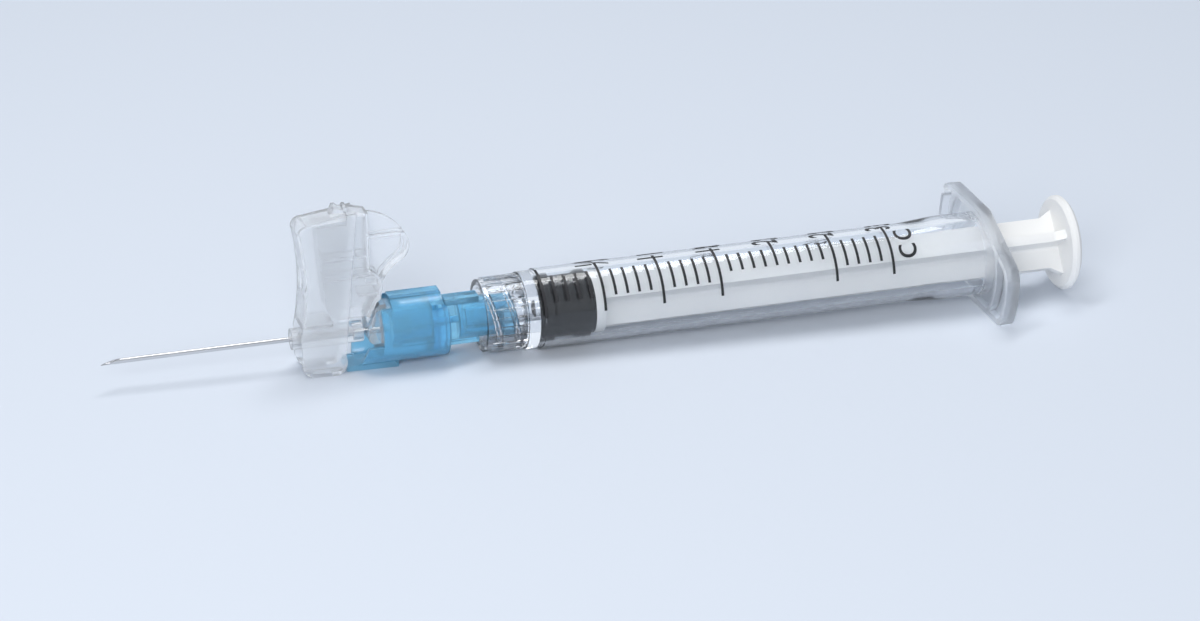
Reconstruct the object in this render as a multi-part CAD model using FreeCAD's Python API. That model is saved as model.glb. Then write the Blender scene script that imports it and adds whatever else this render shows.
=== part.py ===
import FreeCAD, Part
import math
import os

# A 3 mL disposable syringe with a short hypodermic needle and a folding needle shield.
# The syringe lies on its finger flange with the plunger home and the shield folded upright.
# While it is modelled, x runs along the barrel from the zero line of the scale (x = 0)
# towards the thumb rest (+x), z is up and the barrel's axis is y = z = 0. The finished
# solids then move so that the row's origin is below the middle of the whole length.

# Barrel
bore_radius = 4.47
barrel_wall = 0.8
bore_front_x = -0.6
front_wall = 1.6
rear_lead_in = 0.4

# Flared rear end of the barrel
flare_length = 4.5
flare_start_gap = 10.0
flare_rise = 0.35

# Male luer nozzle and its locking collar
nozzle_tip_radius = 1.98
nozzle_length = 7.6
luer_taper = 0.03
nozzle_bore_radius = 1.1
lock_collar_radius = 4.75
lock_collar_wall = 0.75
lock_collar_length = 5.4
lock_ring_radius = 5.1
grip_rib_count = 24
grip_rib_width = 0.26
grip_rib_height = 0.18
grip_rib_end_gap = 0.7

# Finger flange
flange_front_x = 61.0
flange_thickness = 1.8
flange_half_height = 6.6
flange_half_length = 12.1
flange_taper = 12.0
flange_corner = 2.2
flange_lip = 0.8
flange_pocket_depth = 1.0
ear_rib_radius = 8.3
ear_rib_width = 0.6
gate_notch_radius = 0.7
gate_notch_angle = 24.0

# Plunger rod
rod_radius = 3.55
rod_rib = 1.25
rod_root_fillet = 0.45
rod_roll = 38.0
rod_flare_length = 1.7
rod_flare_radius = 4.5
rod_disc_radius = 4.05
rod_disc_thickness = 1.3
thumb_radius = 6.4
thumb_thickness = 1.35
thumb_edge = 0.45
thumb_front_x = 73.05

# Rubber stopper and the barbed head of the rod inside it
stopper_front_x = -0.45
stopper_length = 7.5
stopper_waist_radius = 4.05
seal_clearance = 0.02
seal_rib_length = 1.75
seal_rib_slope = 0.45
front_rib_x = 0.05
rear_rib_gap = 0.35
barb_radius = 2.5
barb_length = 1.6
barb_neck_radius = 1.7
barb_neck_length = 2.2
barb_clearance = 0.03

# Needle
tip_x = -56.9
cannula_radius = 0.32
cannula_bore_radius = 0.17
cannula_end_x = -11.4
bevel_angle = 14.0
cannula_clearance = 0.03

# Needle hub
hub_radius = 2.7
hub_mouth_x = -3.8
hub_cavity_floor_x = -10.6
luer_clearance = 0.02
hub_lug_radius = 3.85
hub_lug_length = 1.5
hub_lug_width = 3.2
hub_wing_half_width = 1.15
hub_wing_height = 3.25
hub_wing_corner = 0.3
hub_wing_rear_x = -7.9
hub_disc_front_x = -14.6
hub_disc_thickness = 1.7
hub_boss_radius = 1.9
hub_boss_front_x = -19.4
bond_radius = 0.75
bond_depth = 2.4

# Shield collar, the blue sleeve on the hub
collar_radius = 4.45
collar_wall = 0.65
collar_front_x = -21.2
collar_rear_x = -12.45
collar_rear_lip = 0.9
collar_clearance = 0.04
rail_top_z = 4.5
rail_half_width = 1.15
rail_front_x = -19.9
roof_rear_x = -12.95
roof_low_z = 2.9
roof_slot_length = 1.65
roof_slot_height = 0.6
mouth_notch_depth = 1.5
mouth_notch_half_width = 2.45
mouth_notch_floor_z = 1.9
scoop_front_x = -24.4
scoop_top_z = -0.9
scoop_slope = 1.2
toe_front_x = -25.7
toe_rear_x = -18.9
toe_half_width = 2.0
toe_bottom_z = -5.0
toe_top_z = -3.95
toe_chamfer = 0.35
side_panel_x = -16.7
side_panel_z = 0.5
side_panel_length = 4.2
side_panel_height = 3.0
side_panel_depth = 0.2

# Folding links of the shield: hinge A is on the collar's clear insert, hinge B is the
# fold at the top, and hinge C carries the guide tube. The two links have equal lengths
# and A and C have one height, so the guide runs straight along the needle.
hinge_a_x = -22.6
hinge_low_z = 2.1
hinge_b_x = -25.0
hinge_b_z = 17.3
film_radius = 0.32
fold_half_width = 1.0
film_clearance = 0.06

# Clear insert in the collar's mouth
insert_front_x = -22.65
insert_half_width = 2.1
insert_top_z = 4.2
insert_bottom_z = -1.2
insert_neck_half_width = 1.3
insert_neck_height = 0.9
insert_neck_length = 0.6
insert_chamfer = 0.4
insert_window_radius = 0.6
insert_window_depth = 0.55
insert_window_x = -21.7
insert_window_z = 1.0
insert_window_top_z = 3.2
insert_window_slant = 0.3
ramp_gap = 0.3
ramp_reach = 1.1

# Guide tube round the needle
guide_radius = 1.4
guide_front_x = -32.5
guide_rear_x = -23.2
guide_bore_radius = 0.42
guide_neck_half_width = 1.2
guide_neck_thickness = 0.45
guide_mouth_radius = 0.8
guide_mouth_depth = 1.2

# Rear link with the finger pad
link_wall = 0.38
rear_link_low_half_width = 1.85
rear_link_top_half_width = 1.38
rear_link_front_x = -29.0
rear_link_lean = 0.9
rear_link_toe_z = 2.7
rear_link_toe_round = 2.1
rear_link_top_z = 15.4
rear_link_back_x = -20.6
rear_link_heel_z = 4.8
pad_half_width = 1.0
pad_back_x = -22.2
pad_back_z = 8.8
pad_back_bow = 0.35
pad_crown_z = 16.5
pad_crown_bow = 0.65
pad_nose_x = -17.6
pad_nose_top_z = 13.5
pad_nose_bottom_z = 9.75
pad_nose_bow = 0.75
pad_root_z = 6.6
pad_root_bow = 0.4
pad_shelf_z = 13.3
pad_rib = 0.7
cross_rib_count = 3
cross_rib_pitch = 2.6
cross_rib_low_z = 5.3
cross_rib_front_x = -23.7
needle_slot_half_width = 0.7

# Front link, the guard that covers the needle point
guard_wall = 0.4
guard_top_half_width = 1.95
guard_bottom_half_width = 2.75
guard_front_x = -31.6
guard_waist = 0.7
guard_waist_end_z = 1.0
guard_roof_front_z = 16.1
guard_roof_rear_z = 17.0
guard_rear_top_x = -23.8
guard_rear_bottom_x = -25.9
guard_bottom_z = -4.6
guard_corner = 1.3
guard_chin_lean = 0.1
guard_chin_height = 2.2
guard_chin_length = 1.3
guard_heel_height = 2.4
guard_heel_length = 0.9
guard_window_bottom_z = -3.7
guard_slot_half_width = 0.9
guard_lens_z = 8.2
guard_lens_height = 3.0
guard_lens_width = 1.7
guard_lip_length = 2.0
guard_lip_gap = 0.7
guard_lip_slope = 0.5
guard_lip_rise = 0.4

bore_rear_x = flange_front_x + flange_thickness
barrel_radius = bore_radius + barrel_wall
nozzle_root_x = bore_front_x - front_wall
nozzle_tip_x = nozzle_root_x - nozzle_length
thumb_rear_x = thumb_front_x + thumb_thickness
rod_front_x = stopper_front_x + stopper_length
hinge_c_x = 2 * hinge_b_x - hinge_a_x
ramp_low = (hinge_a_x + film_radius / 2, hinge_low_z + film_radius)
ramp_high = (hinge_a_x + ramp_reach, rear_link_heel_z - link_wall)
past = 1.0
collar_bore_radius = collar_radius - collar_wall


def vector(x, y, z):
    return FreeCAD.Vector(x, y, z)


def outline(start, *steps):
    """A closed wire in the x-z plane. A step is an end point, or a middle and an end point of an arc."""
    edges = []
    here = vector(start[0], 0, start[1])
    for step in steps + (start,):
        if isinstance(step[0], tuple):
            middle = vector(step[0][0], 0, step[0][1])
            there = vector(step[1][0], 0, step[1][1])
            edges.append(Part.Arc(here, middle, there).toShape())
        else:
            there = vector(step[0], 0, step[1])
            if here.distanceToPoint(there) > 1e-6:
                edges.append(Part.makeLine(here, there))
        here = there
    return Part.Wire(edges)


def bow(here, there, rise):
    """A step of an outline: an arc to the end point that stands out by the rise on the left of its chord."""
    along_x = there[0] - here[0]
    along_z = there[1] - here[1]
    chord = math.hypot(along_x, along_z)
    middle = (
        (here[0] + there[0]) / 2 - along_z / chord * rise,
        (here[1] + there[1]) / 2 + along_x / chord * rise,
    )
    return (middle, there)


def quarter_round(here, there):
    """A step of an outline that rounds a square corner, with the corner on the right."""
    chord = math.hypot(there[0] - here[0], there[1] - here[1])
    return bow(here, there, -chord * math.tan(math.radians(22.5)) / 2)


def side_plate(wire, low_y, high_y):
    """The outline in the x-z plane made solid between two values of y."""
    face = Part.Face(wire)
    face.translate(vector(0, low_y, 0))
    return face.extrude(vector(0, high_y - low_y, 0))


def wide_plate(wire, half_width):
    return side_plate(wire, -half_width, half_width)


def turned(start, *steps):
    """The outline of (x, radius) points turned about the x axis."""
    return Part.Face(outline(start, *steps)).revolve(vector(0, 0, 0), vector(1, 0, 0), 360)


def rod_along_x(radius, low_x, high_x):
    return Part.makeCylinder(radius, high_x - low_x, vector(low_x, 0, 0), vector(1, 0, 0))


def block(low_x, high_x, low_y, high_y, low_z, high_z):
    return Part.makeBox(high_x - low_x, high_y - low_y, high_z - low_z, vector(low_x, low_y, low_z))


def hinge_pin(x, z, radius, half_width):
    return Part.makeCylinder(radius, 2 * half_width, vector(x, -half_width, z), vector(0, 1, 0))


def nozzle_radius(x):
    return nozzle_tip_radius + luer_taper * (x - nozzle_tip_x)


def edges_along_x(solid, test):
    """The straight edges of the solid that run along x and whose (y, z) passes the test."""
    found = []
    for edge in solid.Edges:
        if isinstance(edge.Curve, Part.Line) and abs(edge.tangentAt(edge.FirstParameter).x) > 0.999:
            place = edge.CenterOfMass
            if test(place.y, place.z):
                found.append(edge)
    return found


def flange_blank(half_height, half_length, corner, low_x, high_x):
    """A slender rhombus with its ends cut to an arc. One of its four flats lies level below the axis."""
    taper = math.radians(flange_taper)
    middle = half_height / math.cos(taper)
    reach = middle / math.tan(taper)
    points = [(reach, 0), (0, middle), (-reach, 0), (0, -middle), (reach, 0)]
    wire = Part.makePolygon([vector(low_x, y, z) for y, z in points])
    rhombus = Part.Face(wire).extrude(vector(high_x - low_x, 0, 0))
    blank = rhombus.common(rod_along_x(half_length, low_x, high_x))
    corners = edges_along_x(blank, lambda y, z: abs(y) > half_length / 2)
    blank = blank.makeFillet(corner, corners)
    blank.rotate(vector(0, 0, 0), vector(1, 0, 0), flange_taper)
    return blank


def finger_flange():
    blank = flange_blank(flange_half_height, flange_half_length, flange_corner, flange_front_x, bore_rear_x)
    pocket_floor_x = flange_front_x + flange_pocket_depth
    pockets = flange_blank(
        flange_half_height - flange_lip,
        flange_half_length - flange_lip,
        flange_corner - flange_lip / 2,
        flange_front_x - past,
        pocket_floor_x,
    )
    pockets = pockets.cut(rod_along_x(barrel_radius + flare_rise, flange_front_x - 2 * past, pocket_floor_x))
    rib_outside = rod_along_x(ear_rib_radius + ear_rib_width / 2, flange_front_x - 2 * past, pocket_floor_x)
    rib_inside = rod_along_x(ear_rib_radius - ear_rib_width / 2, flange_front_x - 2 * past, pocket_floor_x)
    pockets = pockets.cut(rib_outside.cut(rib_inside))
    angle = math.radians(gate_notch_angle)
    notch = rod_along_x(gate_notch_radius, flange_front_x - past, bore_rear_x + past)
    notch.translate(vector(0, flange_half_length * math.cos(angle), flange_half_length * math.sin(angle)))
    return blank.cut(pockets).cut(notch)


def barrel():
    """Barrel, nozzle, locking collar and finger flange are one clear moulding."""
    collar_front_end_x = nozzle_root_x - lock_collar_length
    collar_inside = lock_collar_radius - lock_collar_wall
    flare_start_x = flange_front_x - flare_start_gap
    flare_end_x = flare_start_x + flare_length
    body = turned(
        (nozzle_tip_x, nozzle_bore_radius),
        (nozzle_tip_x, nozzle_tip_radius),
        (nozzle_root_x, nozzle_radius(nozzle_root_x)),
        (nozzle_root_x, collar_inside),
        (collar_front_end_x, collar_inside),
        (collar_front_end_x, lock_collar_radius),
        (nozzle_root_x, lock_collar_radius),
        (nozzle_root_x, lock_ring_radius),
        (0, lock_ring_radius),
        (0, barrel_radius),
        (flare_start_x, barrel_radius),
        (flare_end_x, barrel_radius + flare_rise),
        (bore_rear_x, barrel_radius + flare_rise),
        (bore_rear_x, bore_radius + rear_lead_in),
        (bore_rear_x - rear_lead_in, bore_radius),
        (bore_front_x, bore_radius),
        (bore_front_x, nozzle_bore_radius),
    )
    flange = finger_flange().cut(rod_along_x(barrel_radius, flange_front_x - past, bore_rear_x + past))
    rib = block(
        collar_front_end_x + grip_rib_end_gap,
        nozzle_root_x + front_wall / 2,
        -grip_rib_width / 2,
        grip_rib_width / 2,
        lock_collar_radius - lock_collar_wall / 2,
        lock_collar_radius + grip_rib_height,
    )
    ribs = []
    for number in range(grip_rib_count):
        one = rib.copy()
        one.rotate(vector(0, 0, 0), vector(1, 0, 0), 360.0 * number / grip_rib_count)
        ribs.append(one)
    return body.fuse([flange] + ribs).removeSplitter()


def plunger_rod():
    """Cross-ribbed rod with the stopper's barbed head at one end and the thumb rest at the other."""
    ribs_front_x = rod_front_x + rod_disc_thickness
    upright = block(ribs_front_x, thumb_front_x, -rod_rib / 2, rod_rib / 2, -thumb_radius, thumb_radius)
    level = block(ribs_front_x, thumb_front_x, -thumb_radius, thumb_radius, -rod_rib / 2, rod_rib / 2)
    cross = upright.fuse(level)
    roots = edges_along_x(cross, lambda y, z: math.hypot(y, z) < rod_rib)
    cross = cross.makeFillet(rod_root_fillet, roots)
    envelope = turned(
        (ribs_front_x, 0),
        (ribs_front_x, rod_radius),
        (thumb_front_x - rod_flare_length, rod_radius),
        (thumb_front_x, rod_flare_radius),
        (thumb_front_x, 0),
    )
    cross = cross.common(envelope)
    cross.rotate(vector(0, 0, 0), vector(1, 0, 0), -rod_roll)
    barb_rear_x = rod_front_x - barb_neck_length
    head = turned(
        (barb_rear_x - barb_length, 0),
        (barb_rear_x - barb_length, barb_neck_radius),
        (barb_rear_x, barb_radius),
        (barb_rear_x, barb_neck_radius),
        (rod_front_x, barb_neck_radius),
        (rod_front_x, rod_disc_radius),
        (ribs_front_x, rod_disc_radius),
        (ribs_front_x, 0),
    )
    thumb_rest = rod_along_x(thumb_radius, thumb_front_x, thumb_rear_x)
    rims = [edge for edge in thumb_rest.Edges if isinstance(edge.Curve, Part.Circle)]
    thumb_rest = thumb_rest.makeChamfer(thumb_edge, rims)
    return cross.fuse([head, thumb_rest]).removeSplitter()


def stopper():
    """Rubber stopper with two sealing ribs, hollow where the rod's barbed head snaps in."""
    rib_radius = bore_radius - seal_clearance
    front_rib_end_x = front_rib_x + seal_rib_length
    rear_rib_end_x = rod_front_x - rear_rib_gap
    rear_rib_x = rear_rib_end_x - seal_rib_length
    barb_rear_x = rod_front_x - barb_neck_length
    neck = barb_neck_radius + barb_clearance
    barb = barb_radius + barb_clearance
    return turned(
        (stopper_front_x, 0),
        (stopper_front_x, stopper_waist_radius),
        (front_rib_x, stopper_waist_radius),
        (front_rib_x + seal_rib_slope, rib_radius),
        (front_rib_end_x - seal_rib_slope, rib_radius),
        (front_rib_end_x, stopper_waist_radius),
        (rear_rib_x, stopper_waist_radius),
        (rear_rib_x + seal_rib_slope, rib_radius),
        (rear_rib_end_x - seal_rib_slope, rib_radius),
        (rear_rib_end_x, stopper_waist_radius),
        (rod_front_x, stopper_waist_radius),
        (rod_front_x, neck),
        (barb_rear_x + barb_clearance, neck),
        (barb_rear_x + barb_clearance, barb),
        (barb_rear_x, barb),
        (barb_rear_x - barb_length - barb_clearance, neck),
        (barb_rear_x - barb_length - barb_clearance, 0),
    )


def cannula():
    """Steel needle tube, ground to a slope so that its point is on the lower side."""
    tube = rod_along_x(cannula_radius, tip_x, cannula_end_x)
    tube = tube.cut(rod_along_x(cannula_bore_radius, tip_x - past, cannula_end_x + past))
    slope = math.tan(math.radians(bevel_angle))
    bevel_length = 2 * cannula_radius / slope
    above = outline(
        (tip_x, -cannula_radius),
        (tip_x - past, -cannula_radius),
        (tip_x - past, cannula_radius * 2),
        (tip_x + bevel_length * 1.5, cannula_radius * 2),
    )
    return tube.cut(wide_plate(above, past))


def needle_hub():
    """Luer hub with two locking lugs, two wings, a seating disc and the boss that holds the needle."""
    body = rod_along_x(hub_radius, hub_disc_front_x + hub_disc_thickness, hub_mouth_x)
    disc = rod_along_x(
        collar_bore_radius - collar_clearance,
        hub_disc_front_x,
        hub_disc_front_x + hub_disc_thickness,
    )
    boss = rod_along_x(hub_boss_radius, hub_boss_front_x, hub_disc_front_x)
    wings = block(
        collar_rear_x + collar_clearance,
        hub_wing_rear_x,
        -hub_wing_half_width,
        hub_wing_half_width,
        -hub_wing_height,
        hub_wing_height,
    )
    wings = wings.makeFillet(hub_wing_corner, edges_along_x(wings, lambda y, z: True))
    lugs = block(
        hub_mouth_x - hub_lug_length,
        hub_mouth_x,
        -hub_lug_radius,
        hub_lug_radius,
        -hub_lug_width / 2,
        hub_lug_width / 2,
    )
    lugs = lugs.common(rod_along_x(hub_lug_radius, hub_mouth_x - hub_lug_length, hub_mouth_x))
    cavity = turned(
        (hub_cavity_floor_x, 0),
        (hub_cavity_floor_x, nozzle_radius(hub_cavity_floor_x) + luer_clearance),
        (hub_mouth_x, nozzle_radius(hub_mouth_x) + luer_clearance),
        (hub_mouth_x, 0),
    )
    needle_bore = rod_along_x(cannula_radius + cannula_clearance, hub_boss_front_x, hub_cavity_floor_x)
    bond_pocket = rod_along_x(bond_radius, hub_boss_front_x, hub_boss_front_x + bond_depth)
    hub = body.fuse([disc, boss, wings, lugs])
    return hub.cut([cavity, needle_bore, bond_pocket]).removeSplitter()


def hub_bond():
    """Ring of resin that fills the boss's mouth and holds the needle."""
    plug = rod_along_x(bond_radius, hub_boss_front_x, hub_boss_front_x + bond_depth)
    return plug.cut(rod_along_x(cannula_radius, hub_boss_front_x, hub_boss_front_x + bond_depth))


def shield_collar():
    """Blue sleeve that grips the hub's disc and carries the clear insert, with a scoop below the links."""
    sleeve = rod_along_x(collar_radius, collar_front_x, collar_rear_x)
    scoop = rod_along_x(collar_radius, scoop_front_x, collar_front_x)
    below = outline(
        (collar_front_x, scoop_top_z),
        (scoop_front_x + scoop_slope, scoop_top_z),
        (scoop_front_x, -collar_radius),
        (collar_front_x, -collar_radius),
    )
    scoop = scoop.common(wide_plate(below, collar_radius))
    rail = block(rail_front_x, roof_rear_x, -rail_half_width, rail_half_width, 0, rail_top_z)
    toe = outline(
        (toe_rear_x, toe_bottom_z),
        (toe_rear_x, toe_top_z),
        (toe_front_x + toe_chamfer, toe_top_z),
        (toe_front_x, toe_bottom_z + toe_chamfer),
        (toe_front_x, toe_bottom_z),
    )
    collar = sleeve.fuse([scoop, rail, wide_plate(toe, toe_half_width)])
    rear_wall_x = hub_disc_front_x + hub_disc_thickness
    bore = rod_along_x(collar_bore_radius, scoop_front_x, rear_wall_x)
    above_toe = block(toe_front_x - past, scoop_front_x, -toe_half_width, toe_half_width, toe_top_z, 0)
    rear_hole = rod_along_x(collar_bore_radius - collar_rear_lip / 2, rear_wall_x, collar_rear_x)
    mouth_notch = block(
        collar_front_x,
        collar_front_x + mouth_notch_depth,
        -mouth_notch_half_width,
        mouth_notch_half_width,
        mouth_notch_floor_z,
        rail_top_z,
    )
    roof_end = block(roof_rear_x, collar_rear_x, -collar_radius, collar_radius, roof_low_z, rail_top_z)
    roof_slots = block(
        roof_rear_x - roof_slot_length,
        roof_rear_x,
        -collar_radius,
        collar_radius,
        roof_low_z,
        roof_low_z + roof_slot_height,
    )
    panels = []
    for side in (-1, 1):
        panel = Part.makeBox(side_panel_length, side_panel_depth * 2, side_panel_height)
        panel.translate(vector(
            side_panel_x - side_panel_length / 2,
            side * collar_radius - side_panel_depth,
            side_panel_z - side_panel_height / 2,
        ))
        panels.append(panel)
    return collar.cut([bore, above_toe, rear_hole, mouth_notch, roof_end, roof_slots] + panels).removeSplitter()


def clear_insert():
    """Clear plug in the collar's mouth, with the upstand that ends in the thin hinge A."""
    plug = rod_along_x(collar_bore_radius - collar_clearance, collar_front_x, hub_disc_front_x)
    side = outline(
        (collar_front_x + mouth_notch_depth / 2, insert_bottom_z),
        (collar_front_x + mouth_notch_depth / 2, insert_top_z),
        (ramp_high[0] + ramp_gap, insert_top_z),
        (ramp_low[0] + ramp_gap, ramp_low[1]),
        (insert_front_x, hinge_low_z - insert_neck_height),
        (insert_front_x, insert_bottom_z + insert_chamfer),
        (insert_front_x + insert_chamfer, insert_bottom_z),
    )
    upstand = wide_plate(side, insert_half_width)
    neck = block(
        hinge_a_x - film_radius / 2,
        insert_front_x + insert_neck_length,
        -insert_neck_half_width,
        insert_neck_half_width,
        hinge_low_z - insert_neck_height,
        hinge_low_z,
    )
    film = hinge_pin(hinge_a_x, hinge_low_z, film_radius, insert_neck_half_width)
    boss_bore = rod_along_x(hub_boss_radius + collar_clearance, hub_boss_front_x - ramp_gap, hub_disc_front_x)
    needle_bore = rod_along_x(guide_bore_radius, insert_front_x - past, hub_boss_front_x)
    insert = plug.fuse([upstand, neck, film]).cut([boss_bore, needle_bore])
    for side_y in (-insert_half_width, insert_half_width - insert_window_depth):
        window = outline(
            (insert_window_x - insert_window_radius, insert_window_z),
            (
                (insert_window_x, insert_window_z - insert_window_radius),
                (insert_window_x + insert_window_radius, insert_window_z),
            ),
            (insert_window_x + insert_window_slant, insert_window_top_z),
            (insert_window_x, insert_window_top_z),
        )
        insert = insert.cut(side_plate(window, side_y, side_y + insert_window_depth))
    return insert.removeSplitter()


def needle_guide():
    """Tube that slides on the needle, with the short neck that ends in the thin hinge C."""
    tube = rod_along_x(guide_radius, guide_front_x, guide_rear_x)
    neck = block(
        hinge_c_x - guide_neck_thickness / 2,
        hinge_c_x + guide_neck_thickness / 2,
        -guide_neck_half_width,
        guide_neck_half_width,
        0,
        hinge_low_z,
    )
    film = hinge_pin(hinge_c_x, hinge_low_z, film_radius, guide_neck_half_width)
    bore = rod_along_x(guide_bore_radius, guide_front_x, guide_rear_x)
    mouths = [
        rod_along_x(guide_mouth_radius, guide_front_x, guide_front_x + guide_mouth_depth),
        rod_along_x(guide_mouth_radius, guide_rear_x - guide_mouth_depth, guide_rear_x),
    ]
    return tube.fuse([neck, film]).cut([bore] + mouths).removeSplitter()


def rear_link():
    """Channel from hinge A to the fold, open to the front, with the finger pad on its back."""
    top_z = rear_link_top_z
    toe_start = (rear_link_front_x + rear_link_lean, rear_link_toe_z + rear_link_toe_round)
    toe_end = (toe_start[0] + rear_link_toe_round, rear_link_toe_z)
    heel_x = rear_link_back_x - link_wall
    side = outline(
        (rear_link_front_x, top_z),
        toe_start,
        quarter_round(toe_start, toe_end),
        (hinge_a_x - 2 * film_radius, rear_link_toe_z),
        ramp_low,
        ramp_high,
        (heel_x, rear_link_heel_z),
        (rear_link_back_x, pad_root_z),
        bow((rear_link_back_x, pad_root_z), (pad_back_x, pad_back_z), -pad_back_bow),
        (pad_back_x, pad_crown_z),
        (hinge_b_x, hinge_b_z),
        (hinge_b_x, top_z),
    )
    hollow = outline(
        (rear_link_front_x - past, top_z + past),
        (rear_link_front_x - past, hinge_low_z - past),
        (ramp_low[0] - 2 * link_wall, hinge_low_z - past),
        (ramp_low[0] - link_wall, ramp_low[1] + link_wall / 2),
        (ramp_high[0] - link_wall, rear_link_heel_z),
        (heel_x - link_wall, rear_link_heel_z + link_wall),
        (rear_link_back_x - link_wall, pad_root_z),
        bow(
            (rear_link_back_x - link_wall, pad_root_z),
            (pad_back_x - link_wall, pad_back_z - link_wall / 2),
            -pad_back_bow,
        ),
        (pad_back_x - link_wall, pad_crown_z - link_wall),
        (hinge_b_x, hinge_b_z - 2 * link_wall),
    )
    low_z = hinge_low_z
    high_z = hinge_b_z
    low_half_width = rear_link_low_half_width
    top_half_width = rear_link_top_half_width
    outer = wide_plate(side, low_half_width).common(wedge(low_z, low_half_width, high_z, top_half_width))
    inner_wedge = wedge(low_z, low_half_width - link_wall, high_z, top_half_width - link_wall)
    channel = outer.cut(wide_plate(hollow, low_half_width).common(inner_wedge))
    ribs = []
    for number in range(cross_rib_count):
        rib_z = cross_rib_low_z + cross_rib_pitch * number
        rib_front_x = cross_rib_front_x
        if number > 0:
            rib_front_x = toe_start[0]
        rib = block(
            rib_front_x,
            rear_link_back_x - link_wall / 2,
            -low_half_width,
            low_half_width,
            rib_z,
            rib_z + link_wall,
        )
        ribs.append(rib.common(outer))
    film = hinge_pin(hinge_b_x, hinge_b_z, film_radius, fold_half_width)
    link = channel.fuse(ribs + [film, finger_pad()])
    clearance = hinge_pin(hinge_a_x, hinge_low_z, film_radius + film_clearance, low_half_width + past)
    needle_slot = block(
        rear_link_front_x - past,
        cross_rib_front_x,
        -needle_slot_half_width,
        needle_slot_half_width,
        cross_rib_low_z - past,
        rear_link_top_z,
    )
    return link.cut([clearance, needle_slot]).removeSplitter()


def pad_side(inset):
    """Side view of the finger pad, from the rear link's back out to its nose and down to its root."""
    crown = (pad_back_x - link_wall, pad_crown_z - inset)
    nose_top = (pad_nose_x - inset, pad_nose_top_z)
    nose_bottom = (pad_nose_x - inset, pad_nose_bottom_z + inset / 2)
    root = (rear_link_back_x - inset, pad_root_z)
    return outline(
        crown,
        bow(crown, nose_top, pad_crown_bow),
        bow(nose_top, nose_bottom, pad_nose_bow),
        bow(nose_bottom, root, -pad_root_bow),
        (pad_back_x - link_wall, pad_root_z),
    )


def finger_pad():
    """Fin behind the rear link: a thin web in the middle, edged by the curved strip that a finger pushes."""
    nose_x = pad_nose_x + pad_nose_bow
    whole = wide_plate(pad_side(0), pad_half_width)
    inside = wide_plate(pad_side(pad_rib), pad_half_width)
    above = block(pad_back_x - past, nose_x, -pad_half_width, pad_half_width, pad_shelf_z, hinge_b_z)
    strip = whole.cut([inside, above])
    shelf = block(pad_back_x, nose_x, -pad_half_width, pad_half_width, pad_shelf_z - link_wall, pad_shelf_z)
    web = wide_plate(pad_side(0), pad_rib / 2)
    return strip.fuse([shelf.common(whole), web])


def guard_roof_z(x):
    """Height of the guard's sloping roof above a place on the axis."""
    front_x = guard_front_x + guard_corner
    share = (x - front_x) / (guard_rear_top_x - front_x)
    return guard_roof_front_z + share * (guard_roof_rear_z - guard_roof_front_z)


def guard_side(inset, open_rear):
    """Side view of the front link. An open rear carries the inner outline out past the back edge."""
    front_x = guard_front_x + inset
    floor_z = guard_bottom_z + inset
    corner = guard_corner - inset
    corner_start = (front_x + corner, guard_roof_front_z - inset)
    corner_end = (front_x, guard_roof_front_z - inset - corner)
    waist_end = (front_x, guard_waist_end_z)
    chin_start = (front_x + guard_chin_lean, floor_z + guard_chin_height)
    chin_end = (front_x + guard_chin_length, floor_z)
    heel_start = (guard_rear_bottom_x - guard_heel_length + open_rear, floor_z)
    heel_end = (guard_rear_bottom_x + open_rear, floor_z + guard_heel_height)
    return outline(
        (guard_rear_top_x + open_rear, guard_roof_rear_z - inset),
        corner_start,
        quarter_round(corner_start, corner_end),
        bow(corner_end, waist_end, guard_waist),
        chin_start,
        quarter_round(chin_start, chin_end),
        heel_start,
        quarter_round(heel_start, heel_end),
    )


def wedge(bottom_z, bottom_half_width, top_z, top_half_width):
    """Block for the links' draft: wider at the bottom than at the top."""
    low_x = guard_front_x - past
    high_x = pad_nose_x + pad_nose_bow + past
    points = [
        (bottom_half_width, bottom_z),
        (top_half_width, top_z),
        (-top_half_width, top_z),
        (-bottom_half_width, bottom_z),
        (bottom_half_width, bottom_z),
    ]
    wire = Part.makePolygon([vector(low_x, y, z) for y, z in points])
    return Part.Face(wire).extrude(vector(high_x - low_x, 0, 0))


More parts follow.
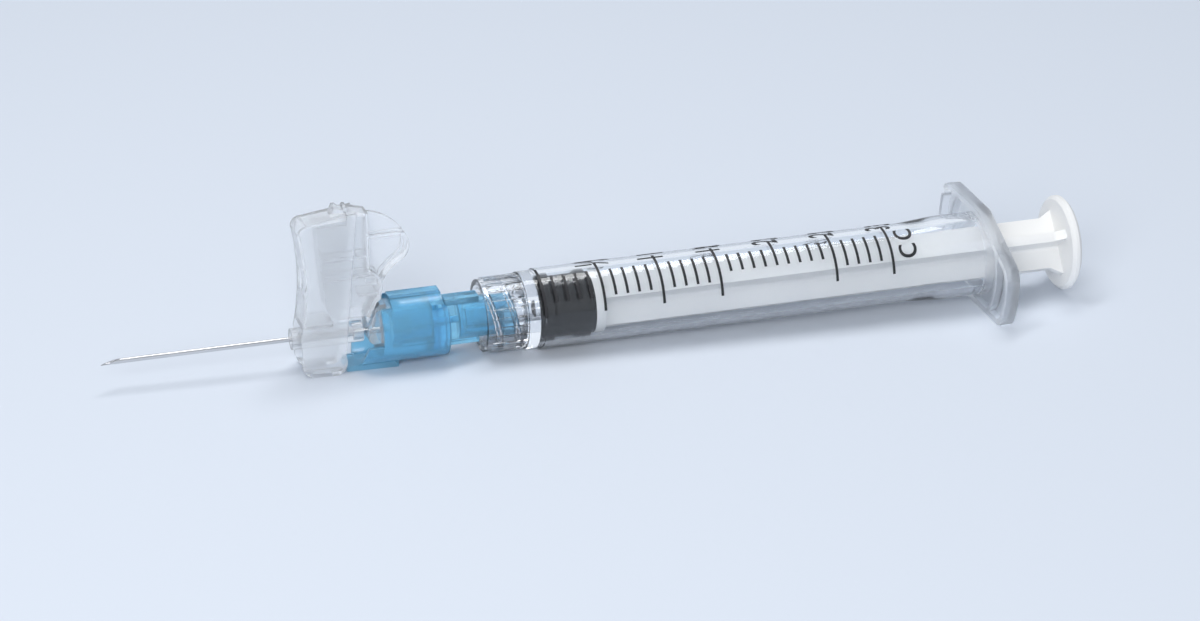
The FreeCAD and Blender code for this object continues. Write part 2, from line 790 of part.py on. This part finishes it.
def front_link():
    """Guard that folds forward over the needle: a channel open to the rear, hung from the fold."""
    low_z = guard_bottom_z
    high_z = guard_roof_rear_z
    low_half_width = guard_bottom_half_width
    top_half_width = guard_top_half_width
    outer = wide_plate(guard_side(0, 0), low_half_width)
    outer = outer.common(wedge(low_z, low_half_width, high_z, top_half_width))
    inner_wedge = wedge(low_z, low_half_width - guard_wall, high_z, top_half_width - guard_wall)
    open_rear = guard_rear_top_x - guard_rear_bottom_x + guard_heel_length + past
    hollow = wide_plate(guard_side(guard_wall, open_rear), low_half_width).common(inner_wedge)
    shelf_z = hinge_low_z + film_radius
    window = block(
        guard_front_x - past,
        guard_front_x + guard_chin_length + guard_wall,
        -low_half_width,
        low_half_width,
        guard_window_bottom_z,
        shelf_z - guard_wall,
    ).common(inner_wedge)
    lens = Part.Ellipse(
        vector(guard_front_x - past, 0, guard_lens_z + guard_lens_height / 2),
        vector(guard_front_x - past, guard_lens_width / 2, guard_lens_z),
        vector(guard_front_x - past, 0, guard_lens_z),
    )
    lens = Part.Face(Part.Wire(lens.toShape())).extrude(vector(past + guard_waist + 2 * guard_wall, 0, 0))
    shelf = block(
        guard_front_x + guard_wall / 2,
        hinge_c_x,
        -low_half_width,
        low_half_width,
        shelf_z - guard_wall,
        shelf_z,
    ).common(outer)
    lip_x = hinge_b_x - guard_lip_length
    lip_end_x = hinge_b_x - guard_lip_gap
    lip_top_z = hinge_b_z + guard_lip_rise
    lip = outline(
        (lip_x, guard_roof_z(lip_x) - guard_wall),
        (lip_x, guard_roof_z(lip_x)),
        (lip_x + guard_lip_slope, lip_top_z),
        (lip_end_x - guard_lip_rise, lip_top_z),
        (lip_end_x, hinge_b_z),
        (hinge_b_x, hinge_b_z),
        (hinge_b_x, guard_roof_z(hinge_b_x) - guard_wall),
    )
    link = outer.cut([hollow, window, lens]).fuse([shelf, wide_plate(lip, fold_half_width)])
    roof_rear = block(
        hinge_b_x,
        guard_rear_top_x + past,
        -top_half_width + guard_wall,
        top_half_width - guard_wall,
        guard_roof_z(hinge_b_x) - 2 * guard_wall,
        hinge_b_z + past,
    )
    fold = hinge_pin(hinge_b_x, hinge_b_z, film_radius + film_clearance, top_half_width + past)
    low_hinge = hinge_pin(hinge_c_x, hinge_low_z, film_radius + film_clearance, insert_neck_half_width)
    needle_slot = block(
        guard_front_x - past,
        guard_rear_bottom_x + past,
        -guard_slot_half_width,
        guard_slot_half_width,
        guard_bottom_z - past,
        guard_window_bottom_z + guard_wall / 2,
    )
    return link.cut([roof_rear, fold, low_hinge, needle_slot]).removeSplitter()


def main():
    os.makedirs("parts", exist_ok=True)
    pieces = {
        "barrel": barrel(),
        "plunger_rod": plunger_rod(),
        "stopper": stopper(),
        "cannula": cannula(),
        "needle_hub": needle_hub(),
        "hub_bond": hub_bond(),
        "shield_collar": shield_collar(),
        "hinge_insert": clear_insert(),
        "rear_link": rear_link(),
        "front_link": front_link(),
        "needle_guide": needle_guide(),
    }
    to_row = vector(-(tip_x + thumb_rear_x) / 2, 0, flange_half_height)
    for name, piece in pieces.items():
        piece.translate(to_row)
        solids = piece.Solids
        print(name, "solids", len(solids), "valid", piece.isValid(), "volume", round(piece.Volume, 3))
        piece.exportStep("parts/" + name + ".step")


main()
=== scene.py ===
import math

import bmesh
import bpy
from mathutils import Matrix, Vector


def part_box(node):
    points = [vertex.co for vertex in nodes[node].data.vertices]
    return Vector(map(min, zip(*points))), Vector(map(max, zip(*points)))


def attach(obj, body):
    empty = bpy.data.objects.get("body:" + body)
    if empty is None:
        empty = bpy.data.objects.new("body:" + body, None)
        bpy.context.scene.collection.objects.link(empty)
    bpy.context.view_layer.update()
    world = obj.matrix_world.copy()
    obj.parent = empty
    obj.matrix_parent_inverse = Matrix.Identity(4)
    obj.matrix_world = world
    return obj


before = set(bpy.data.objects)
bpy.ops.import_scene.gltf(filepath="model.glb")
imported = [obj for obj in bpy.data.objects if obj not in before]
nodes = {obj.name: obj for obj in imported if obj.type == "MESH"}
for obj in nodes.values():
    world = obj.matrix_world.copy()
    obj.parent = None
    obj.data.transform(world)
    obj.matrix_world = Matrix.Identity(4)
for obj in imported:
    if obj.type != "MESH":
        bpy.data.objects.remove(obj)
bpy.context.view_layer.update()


# Camera. The photograph is taken with a long lens from above and a little to the needle's side.
# It looks 17 degrees away from square on to the barrel and 24 degrees down.
camera_place = (-0.12795, -0.41818, 0.2002)
camera_down = 24.04
camera_roll = 0.13
camera_aside = -17.07

camera_data = bpy.data.cameras.new("camera")
camera_data.lens = 110.0
camera_data.sensor_width = 36.0
camera = bpy.data.objects.new("camera", camera_data)
bpy.context.collection.objects.link(camera)
camera.location = camera_place
camera.rotation_euler = (
    math.radians(90.0 - camera_down),
    math.radians(camera_roll),
    math.radians(camera_aside),
)
bpy.context.scene.camera = camera


# Floor. A plain pale table top, tilted by the small angle at which the syringe leans on the guard's
# lower end and on the flange, so that both touch it.
floor_size = 6.0
flange_rest_inset = 0.001
floor_colour = (0.66, 0.71, 0.79)
floor_roughness = 0.7


def bmesh_object(name, mesh_builder):
    """Turns a finished bmesh into a named object of the scene."""
    mesh = bpy.data.meshes.new(name)
    mesh_builder.to_mesh(mesh)
    mesh_builder.free()
    thing = bpy.data.objects.new(name, mesh)
    bpy.context.collection.objects.link(thing)
    return thing


def set_plain(material, values):
    """Sets the shader's sockets that have one value over the whole surface."""
    shader = material.node_tree.nodes["Principled BSDF"]
    for socket, value in values.items():
        shader.inputs[socket].default_value = value


guard_low, guard_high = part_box("front_link")
barrel_low, barrel_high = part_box("barrel")
guard_rest_x = (guard_low.x + guard_high.x) / 2
flange_rest_x = barrel_high.x - flange_rest_inset
lean = math.atan2(guard_low.z - barrel_low.z, flange_rest_x - guard_rest_x)
floor_mesh = bmesh.new()
bmesh.ops.create_grid(floor_mesh, x_segments=1, y_segments=1, size=floor_size / 2)
bmesh.ops.rotate(
    floor_mesh,
    cent=(0, 0, 0),
    matrix=Matrix.Rotation(lean, 3, "Y"),
    verts=floor_mesh.verts,
)
bmesh.ops.translate(floor_mesh, vec=(flange_rest_x, 0, barrel_low.z), verts=floor_mesh.verts)
floor = bmesh_object("floor", floor_mesh)

floor_paint = bpy.data.materials.new("floor_paint")
floor_paint.use_nodes = True
set_plain(floor_paint, {"Base Color": (*floor_colour, 1), "Roughness": floor_roughness})
floor.data.materials.append(floor_paint)


# Studio light. A long soft box hangs nearly overhead, a smaller one stands in front at the left,
# and the pale surroundings fill the shadows at 0.4. Eye and gloss see them at 0.58. Rays that have
# passed through glass see them at 0.98, which also lights what lies behind clear plastic.
surround_colour = (0.86, 0.92, 1.0)
surround_light = 0.4
surround_seen = 0.58
surround_glass_extra = 0.4


def soft_box(name, place, width, height, power):
    """Rectangular lamp that faces the middle of the syringe."""
    light = bpy.data.lights.new(name, "AREA")
    light.shape = "RECTANGLE"
    light.size = width
    light.size_y = height
    light.energy = power
    lamp = bpy.data.objects.new(name, light)
    bpy.context.collection.objects.link(lamp)
    lamp.location = place
    lamp.rotation_euler = (-Vector(place)).to_track_quat("-Z", "Y").to_euler()


soft_box("top_light", (-0.05, 0.08, 0.6), 0.7, 0.14, 2.3)
soft_box("front_light", (-0.3, -0.6, 0.35), 0.4, 0.3, 3.0)

bpy.context.scene.view_settings.view_transform = "Standard"
studio = bpy.data.worlds.new("studio")
bpy.context.scene.world = studio
studio.use_nodes = True
studio_nodes = studio.node_tree.nodes
studio_link = studio.node_tree.links.new
seen = studio_nodes.new("ShaderNodeLightPath")
eye_or_gloss = studio_nodes.new("ShaderNodeMath")
eye_gloss_or_glass = studio_nodes.new("ShaderNodeMath")
eye_gloss_or_glass.use_clamp = True
level = studio_nodes.new("ShaderNodeMapRange")
level.inputs["To Min"].default_value = surround_light
level.inputs["To Max"].default_value = surround_seen
glass_share = studio_nodes.new("ShaderNodeMath")
glass_share.operation = "MULTIPLY_ADD"
glass_share.inputs[1].default_value = surround_glass_extra
studio_link(seen.outputs["Is Camera Ray"], eye_or_gloss.inputs[0])
studio_link(seen.outputs["Is Glossy Ray"], eye_or_gloss.inputs[1])
studio_link(eye_or_gloss.outputs["Value"], eye_gloss_or_glass.inputs[0])
studio_link(seen.outputs["Is Transmission Ray"], eye_gloss_or_glass.inputs[1])
studio_link(eye_gloss_or_glass.outputs["Value"], level.inputs["Value"])
studio_link(seen.outputs["Is Transmission Ray"], glass_share.inputs[0])
studio_link(level.outputs["Result"], glass_share.inputs[2])
studio_link(glass_share.outputs["Value"], studio_nodes["Background"].inputs["Strength"])
studio_nodes["Background"].inputs["Color"].default_value = (*surround_colour, 1)


# Barrel, nozzle, locking collar and finger flange are one clear polypropylene moulding. Its surface
# is polished, with the faint waves of a thin wall, its flange is frosted by a matt mould, and its
# edges are a little round.
clear_colours = ((0.98, 0.99, 1.0), (0.95, 0.97, 1.0))
clear_bump = 0.0000015
colour_cloud_size = 120.0
grain_share = 0.08
flange_front_x = 0.05225
flange_blend = 0.0003
flange_roughness = 0.45
barrel_edge = 0.00006


def surface_marks():
    """Node group of moulded plastic: slow waves, a fine grain, and roughness between two ends."""
    group = bpy.data.node_groups.new("surface_marks", "ShaderNodeTree")
    starts = (("Wave size", 300.0), ("Grain size", 4000.0), ("Smooth", 0.05), ("Rough", 0.15))
    for name, start in starts:
        socket = group.interface.new_socket(name, in_out="INPUT", socket_type="NodeSocketFloat")
        socket.default_value = start
    for name in ("Roughness", "Height"):
        group.interface.new_socket(name, in_out="OUTPUT", socket_type="NodeSocketFloat")
    tree = group.nodes
    link = group.links.new
    inside = tree.new("NodeGroupInput")
    outside = tree.new("NodeGroupOutput")
    place = tree.new("ShaderNodeTexCoord")
    waves = tree.new("ShaderNodeTexNoise")
    grain = tree.new("ShaderNodeTexNoise")
    spread = tree.new("ShaderNodeMapRange")
    total = tree.new("ShaderNodeMath")
    total.operation = "MULTIPLY_ADD"
    total.inputs[1].default_value = grain_share
    link(place.outputs["Object"], waves.inputs["Vector"])
    link(place.outputs["Object"], grain.inputs["Vector"])
    link(inside.outputs["Wave size"], waves.inputs["Scale"])
    link(inside.outputs["Grain size"], grain.inputs["Scale"])
    link(waves.outputs["Fac"], spread.inputs["Value"])
    link(inside.outputs["Smooth"], spread.inputs["To Min"])
    link(inside.outputs["Rough"], spread.inputs["To Max"])
    link(grain.outputs["Fac"], total.inputs[0])
    link(waves.outputs["Fac"], total.inputs[2])
    link(spread.outputs["Result"], outside.inputs["Roughness"])
    link(total.outputs["Value"], outside.inputs["Height"])
    return group


marks_group = surface_marks()


def moulded_plastic(name, colours, smooth, rough, bump, wave_size=300.0):
    """Finish whose colour and roughness drift slowly between two values, with a shallow bump."""
    material = bpy.data.materials.new(name)
    material.use_nodes = True
    tree = material.node_tree.nodes
    link = material.node_tree.links.new
    shader = tree["Principled BSDF"]
    marks = tree.new("ShaderNodeGroup")
    marks.node_tree = marks_group
    marks.inputs["Wave size"].default_value = wave_size
    marks.inputs["Smooth"].default_value = smooth
    marks.inputs["Rough"].default_value = rough
    place = tree.new("ShaderNodeTexCoord")
    clouds = tree.new("ShaderNodeTexNoise")
    clouds.inputs["Scale"].default_value = colour_cloud_size
    tint = tree.new("ShaderNodeMix")
    tint.data_type = "RGBA"
    tint.inputs["A"].default_value = (*colours[0], 1)
    tint.inputs["B"].default_value = (*colours[1], 1)
    ripple = tree.new("ShaderNodeBump")
    ripple.inputs["Distance"].default_value = bump
    link(place.outputs["Object"], clouds.inputs["Vector"])
    link(clouds.outputs["Fac"], tint.inputs["Factor"])
    link(tint.outputs["Result"], shader.inputs["Base Color"])
    link(marks.outputs["Roughness"], shader.inputs["Roughness"])
    link(marks.outputs["Height"], ripple.inputs["Height"])
    link(ripple.outputs["Normal"], shader.inputs["Normal"])
    return material


def matt_flange(material):
    """The finger flange's mould is matt, so the roughness rises where the flange begins."""
    tree = material.node_tree.nodes
    link = material.node_tree.links.new
    shader = tree["Principled BSDF"]
    polished = shader.inputs["Roughness"].links[0].from_socket
    place = tree.new("ShaderNodeTexCoord")
    parts = tree.new("ShaderNodeSeparateXYZ")
    rise = tree.new("ShaderNodeMapRange")
    rougher = tree.new("ShaderNodeMath")
    rougher.operation = "MAXIMUM"
    rise.inputs["From Min"].default_value = flange_front_x - flange_blend
    rise.inputs["From Max"].default_value = flange_front_x
    rise.inputs["To Max"].default_value = flange_roughness
    link(place.outputs["Object"], parts.inputs["Vector"])
    link(parts.outputs["X"], rise.inputs["Value"])
    link(rise.outputs["Result"], rougher.inputs[0])
    link(polished, rougher.inputs[1])
    link(rougher.outputs["Value"], shader.inputs["Roughness"])


def dress(node_name, material):
    """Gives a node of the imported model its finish."""
    thing = nodes[node_name]
    thing.data.materials.clear()
    thing.data.materials.append(material)
    return thing


def soften_edges(thing, width, steps=2, sharp=38.0):
    """Rounds a node's sharp edges, as a mould does. Its loose triangles are joined first."""
    joined = thing.modifiers.new("joined", "WELD")
    joined.merge_threshold = 0.000002
    rounded = thing.modifiers.new("rounded", "BEVEL")
    rounded.limit_method = "ANGLE"
    rounded.angle_limit = math.radians(sharp)
    rounded.width = width
    rounded.segments = steps
    rounded.profile = 0.5
    rounded.material = -1
    rounded.use_clamp_overlap = True
    shading = thing.modifiers.new("shading", "WEIGHTED_NORMAL")
    shading.mode = "FACE_AREA_WITH_ANGLE"
    shading.keep_sharp = False


clear_plastic = moulded_plastic("clear_plastic", clear_colours, 0.03, 0.08, clear_bump)
set_plain(clear_plastic, {"Transmission Weight": 1.0, "IOR": 1.43})
matt_flange(clear_plastic)
soften_edges(dress("barrel", clear_plastic), barrel_edge)


# Thread in the locking collar. Two bands wind along its inner wall, 5 mm of travel to a turn, and
# catch the hub's lugs. They are moulded with the barrel in the same clear plastic.
zero_line_x = -0.00875
axis_z = 0.0066
thread_lead = 0.005
thread_crest_radius = 0.0036
thread_root_radius = 0.00405
thread_crest_width = 0.0003
thread_root_width = 0.0008
thread_front_x = zero_line_x - 0.0074
thread_rear_x = zero_line_x - 0.0024
thread_phase = 83.0
thread_steps = 64


def axis_turn(degrees):
    """Turn about the barrel's axis that takes the near side up to the top."""
    return Matrix.Rotation(math.radians(-degrees), 4, "X")


def swept_round_axis(mesh_builder, section, start_angle, sweep, travel, steps):
    """Sweeps a flat section of (x, radius) points round the barrel's axis, with travel along it."""
    corners = [mesh_builder.verts.new((x, -radius, 0)) for x, radius in section]
    face = mesh_builder.faces.new(corners)
    bmesh.ops.transform(mesh_builder, matrix=axis_turn(start_angle), verts=corners)
    bmesh.ops.spin(
        mesh_builder,
        geom=[face] + list(face.edges) + corners,
        cent=(0, 0, 0),
        axis=(-1, 0, 0),
        dvec=(travel / steps, 0, 0),
        angle=math.radians(sweep),
        steps=steps,
        use_merge=False,
        use_duplicate=False,
    )


thread_travel = thread_rear_x - thread_front_x
thread_sweep = 360.0 * thread_travel / thread_lead
thread_section = [
    (thread_front_x - thread_root_width / 2, thread_root_radius),
    (thread_front_x - thread_crest_width / 2, thread_crest_radius),
    (thread_front_x + thread_crest_width / 2, thread_crest_radius),
    (thread_front_x + thread_root_width / 2, thread_root_radius),
]
thread_mesh = bmesh.new()
for start in (0.0, 180.0):
    swept_round_axis(
        thread_mesh,
        thread_section,
        thread_phase + start,
        -thread_sweep,
        thread_travel,
        thread_steps,
    )
bmesh.ops.recalc_face_normals(thread_mesh, faces=thread_mesh.faces)
bmesh.ops.translate(thread_mesh, vec=(0, 0, axis_z), verts=thread_mesh.verts)
thread = bmesh_object("luer_thread", thread_mesh)
thread.data.materials.append(clear_plastic)
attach(thread, "syringe")


# Scale lines, printed on the barrel in black ink from 0 to 3.0 mL in steps of 0.1. The half and
# whole millilitres have long lines, and those between 1.6 and 2.4 start higher up. Angles are
# measured round the barrel from its near side up.
line_pitch = 0.001593
line_width = 0.00036
ink_low_radius = 0.00526
ink_high_radius = 0.0053
long_line = (9.0, 94.0)
short_line = (30.0, 72.5)
high_start = 43.0
line_step_angle = 4.0

ink_colours = ((0.008, 0.008, 0.01), (0.016, 0.016, 0.02))
ink = moulded_plastic("ink", ink_colours, 0.35, 0.6, 0.000004, 900.0)

lines_mesh = bmesh.new()
for number in range(31):
    low_angle, high_angle = long_line if number % 5 == 0 else short_line
    if 16 <= number <= 24:
        low_angle = high_start
    middle_x = zero_line_x + number * line_pitch
    line_section = [
        (middle_x - line_width / 2, ink_low_radius),
        (middle_x - line_width / 2, ink_high_radius),
        (middle_x + line_width / 2, ink_high_radius),
        (middle_x + line_width / 2, ink_low_radius),
    ]
    line_sweep = high_angle - low_angle
    line_steps = math.ceil(line_sweep / line_step_angle)
    swept_round_axis(lines_mesh, line_section, low_angle, line_sweep, 0.0, line_steps)
bmesh.ops.recalc_face_normals(lines_mesh, faces=lines_mesh.faces)
bmesh.ops.translate(lines_mesh, vec=(0, 0, axis_z), verts=lines_mesh.verts)
lines = bmesh_object("scale_lines", lines_mesh)
lines.data.materials.append(ink)
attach(lines, "syringe")


# Numerals of the scale and the unit mark, printed in the same ink. They read up and over the
# barrel, with the tops of the figures towards the needle.
numeral_height = 0.0035
half_height = 0.0045
numeral_narrow = 0.75
numeral_start = 102.0
numeral_weight = 0.01
unit_height = 0.0025
unit_x = zero_line_x + 0.0501
unit_weight = -0.006
letter_strip = 0.00035


def printed_text(name, words, height, middle_x, start_angle, weight, narrow):
    """Flat letters cut into narrow strips, given the ink's thickness and laid round the barrel."""
    curve = bpy.data.curves.new(name, "FONT")
    curve.body = words
    curve.resolution_u = 5
    curve.offset = weight
    flat = bpy.data.objects.new(name + "_flat", curve)
    bpy.context.collection.objects.link(flat)
    depsgraph = bpy.context.evaluated_depsgraph_get()
    letters = bpy.data.meshes.new_from_object(flat.evaluated_get(depsgraph))
    bpy.data.objects.remove(flat)
    mesh = bmesh.new()
    mesh.from_mesh(letters)
    bpy.data.meshes.remove(letters)
    bmesh.ops.remove_doubles(mesh, verts=mesh.verts, dist=0.0001)
    low_x = min(vert.co.x for vert in mesh.verts)
    low_y = min(vert.co.y for vert in mesh.verts)
    high_y = max(vert.co.y for vert in mesh.verts)
    bmesh.ops.translate(mesh, vec=(-low_x, -(low_y + high_y) / 2, 0), verts=mesh.verts)
    size = height / (high_y - low_y)
    bmesh.ops.scale(mesh, vec=(size * narrow, size, size), verts=mesh.verts)
    length = max(vert.co.x for vert in mesh.verts)
    for cut in range(1, math.ceil(length / letter_strip)):
        bmesh.ops.bisect_plane(
            mesh,
            geom=list(mesh.verts) + list(mesh.edges) + list(mesh.faces),
            plane_co=(cut * letter_strip, 0, 0),
            plane_no=(1, 0, 0),
        )
    sides = bmesh.ops.extrude_face_region(mesh, geom=list(mesh.faces), use_keep_orig=True)
    top = [item for item in sides["geom"] if isinstance(item, bmesh.types.BMVert)]
    bmesh.ops.translate(mesh, vec=(0, 0, ink_high_radius - ink_low_radius), verts=top)
    bmesh.ops.recalc_face_normals(mesh, faces=mesh.faces)
    for vert in mesh.verts:
        along, up, out = vert.co
        angle = math.radians(start_angle) + along / ink_low_radius
        radius = ink_low_radius + out
        vert.co = (middle_x - up, -radius * math.cos(angle), axis_z + radius * math.sin(angle))
    printed = bmesh_object(name, mesh)
    printed.data.materials.append(ink)
    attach(printed, "syringe")


for number, words in enumerate(("½", "1", "1½", "2", "2½", "3")):
    printed_text(
        "numeral_" + str(number + 1),
        words,
        half_height if number == 0 else numeral_height,
        zero_line_x + (number + 1) * 5 * line_pitch,
        numeral_start,
        numeral_weight,
        numeral_narrow,
    )
printed_text("unit_mark_low", "c", unit_height, unit_x, 30.0, unit_weight, 1.0)
printed_text("unit_mark_high", "c", unit_height, unit_x, 58.0, unit_weight, 1.0)


# Plunger rod, a white polypropylene moulding with four ribs, a barbed head for the stopper and a
# round thumb rest. Light goes a little way into the plastic. It slides in the barrel.
rod_colours = ((0.84, 0.84, 0.83), (0.78, 0.78, 0.78))
rod_light_depth = (0.002, 0.002, 0.002)
rod_edge = 0.0002

white_plastic = moulded_plastic("white_plastic", rod_colours, 0.25, 0.4, 0.00001)
set_plain(white_plastic, {"Subsurface Weight": 0.15, "Subsurface Radius": rod_light_depth})
soften_edges(dress("plunger_rod", white_plastic), rod_edge, 3)


# Stopper, moulded in black rubber and snapped on the rod's barbed head. Its ribs press on the
# bore, and a film of silicone makes it slightly shiny.
stopper_colours = ((0.004, 0.004, 0.005), (0.008, 0.008, 0.009))
stopper_edge = 0.00015
stopper_sharp_angle = 25.0

black_rubber = moulded_plastic("black_rubber", stopper_colours, 0.12, 0.28, 0.000006)
set_plain(black_rubber, {"IOR": 1.35})
soften_edges(dress("stopper", black_rubber), stopper_edge, 2, stopper_sharp_angle)


# Needle, a tube of stainless steel, drawn bright and ground to a point. Its edges stay as sharp
# as they are ground.
steel_colours = ((0.72, 0.72, 0.73), (0.62, 0.62, 0.64))

needle_steel = moulded_plastic("needle_steel", steel_colours, 0.15, 0.3, 0.000003, 900.0)
set_plain(needle_steel, {"Metallic": 1.0})
dress("cannula", needle_steel)


# Needle hub and shield sleeve, mouldings of light blue translucent plastic, whose colour tells the
# needle's gauge. The hub is twisted into the locking collar and the sleeve grips the hub.
blue_colours = ((0.38, 0.76, 0.97), (0.29, 0.69, 0.94))
blue_edge = 0.0001

blue_plastic = moulded_plastic("blue_plastic", blue_colours, 0.1, 0.22, 0.000008)
set_plain(blue_plastic, {"Transmission Weight": 0.8, "IOR": 1.4})
for name in ("needle_hub", "shield_collar"):
    soften_edges(dress(name, blue_plastic), blue_edge)


# Bond, a ring of clear resin that is cast round the needle in the hub and holds it there.
# It has set smooth, with a faint yellow cast.
resin_colours = ((0.9, 0.9, 0.85), (0.85, 0.85, 0.8))

bond_resin = moulded_plastic("bond_resin", resin_colours, 0.05, 0.12, 0.00001)
set_plain(bond_resin, {"Transmission Weight": 0.8})
dress("hub_bond", bond_resin)


# Shield: insert in the sleeve's mouth, two folding links and a guide that slides on the needle, in
# milky polypropylene. They are one moulding, joined by films thin enough to bend.
milky_colours = ((0.98, 0.99, 1.0), (0.95, 0.97, 1.0))
shield_edge = 0.00008

milky_plastic = moulded_plastic("milky_plastic", milky_colours, 0.13, 0.24, 0.000006)
set_plain(milky_plastic, {"Transmission Weight": 0.8, "IOR": 1.4})
for name in ("hinge_insert", "rear_link", "front_link", "needle_guide"):
    soften_edges(dress(name, milky_plastic), shield_edge)
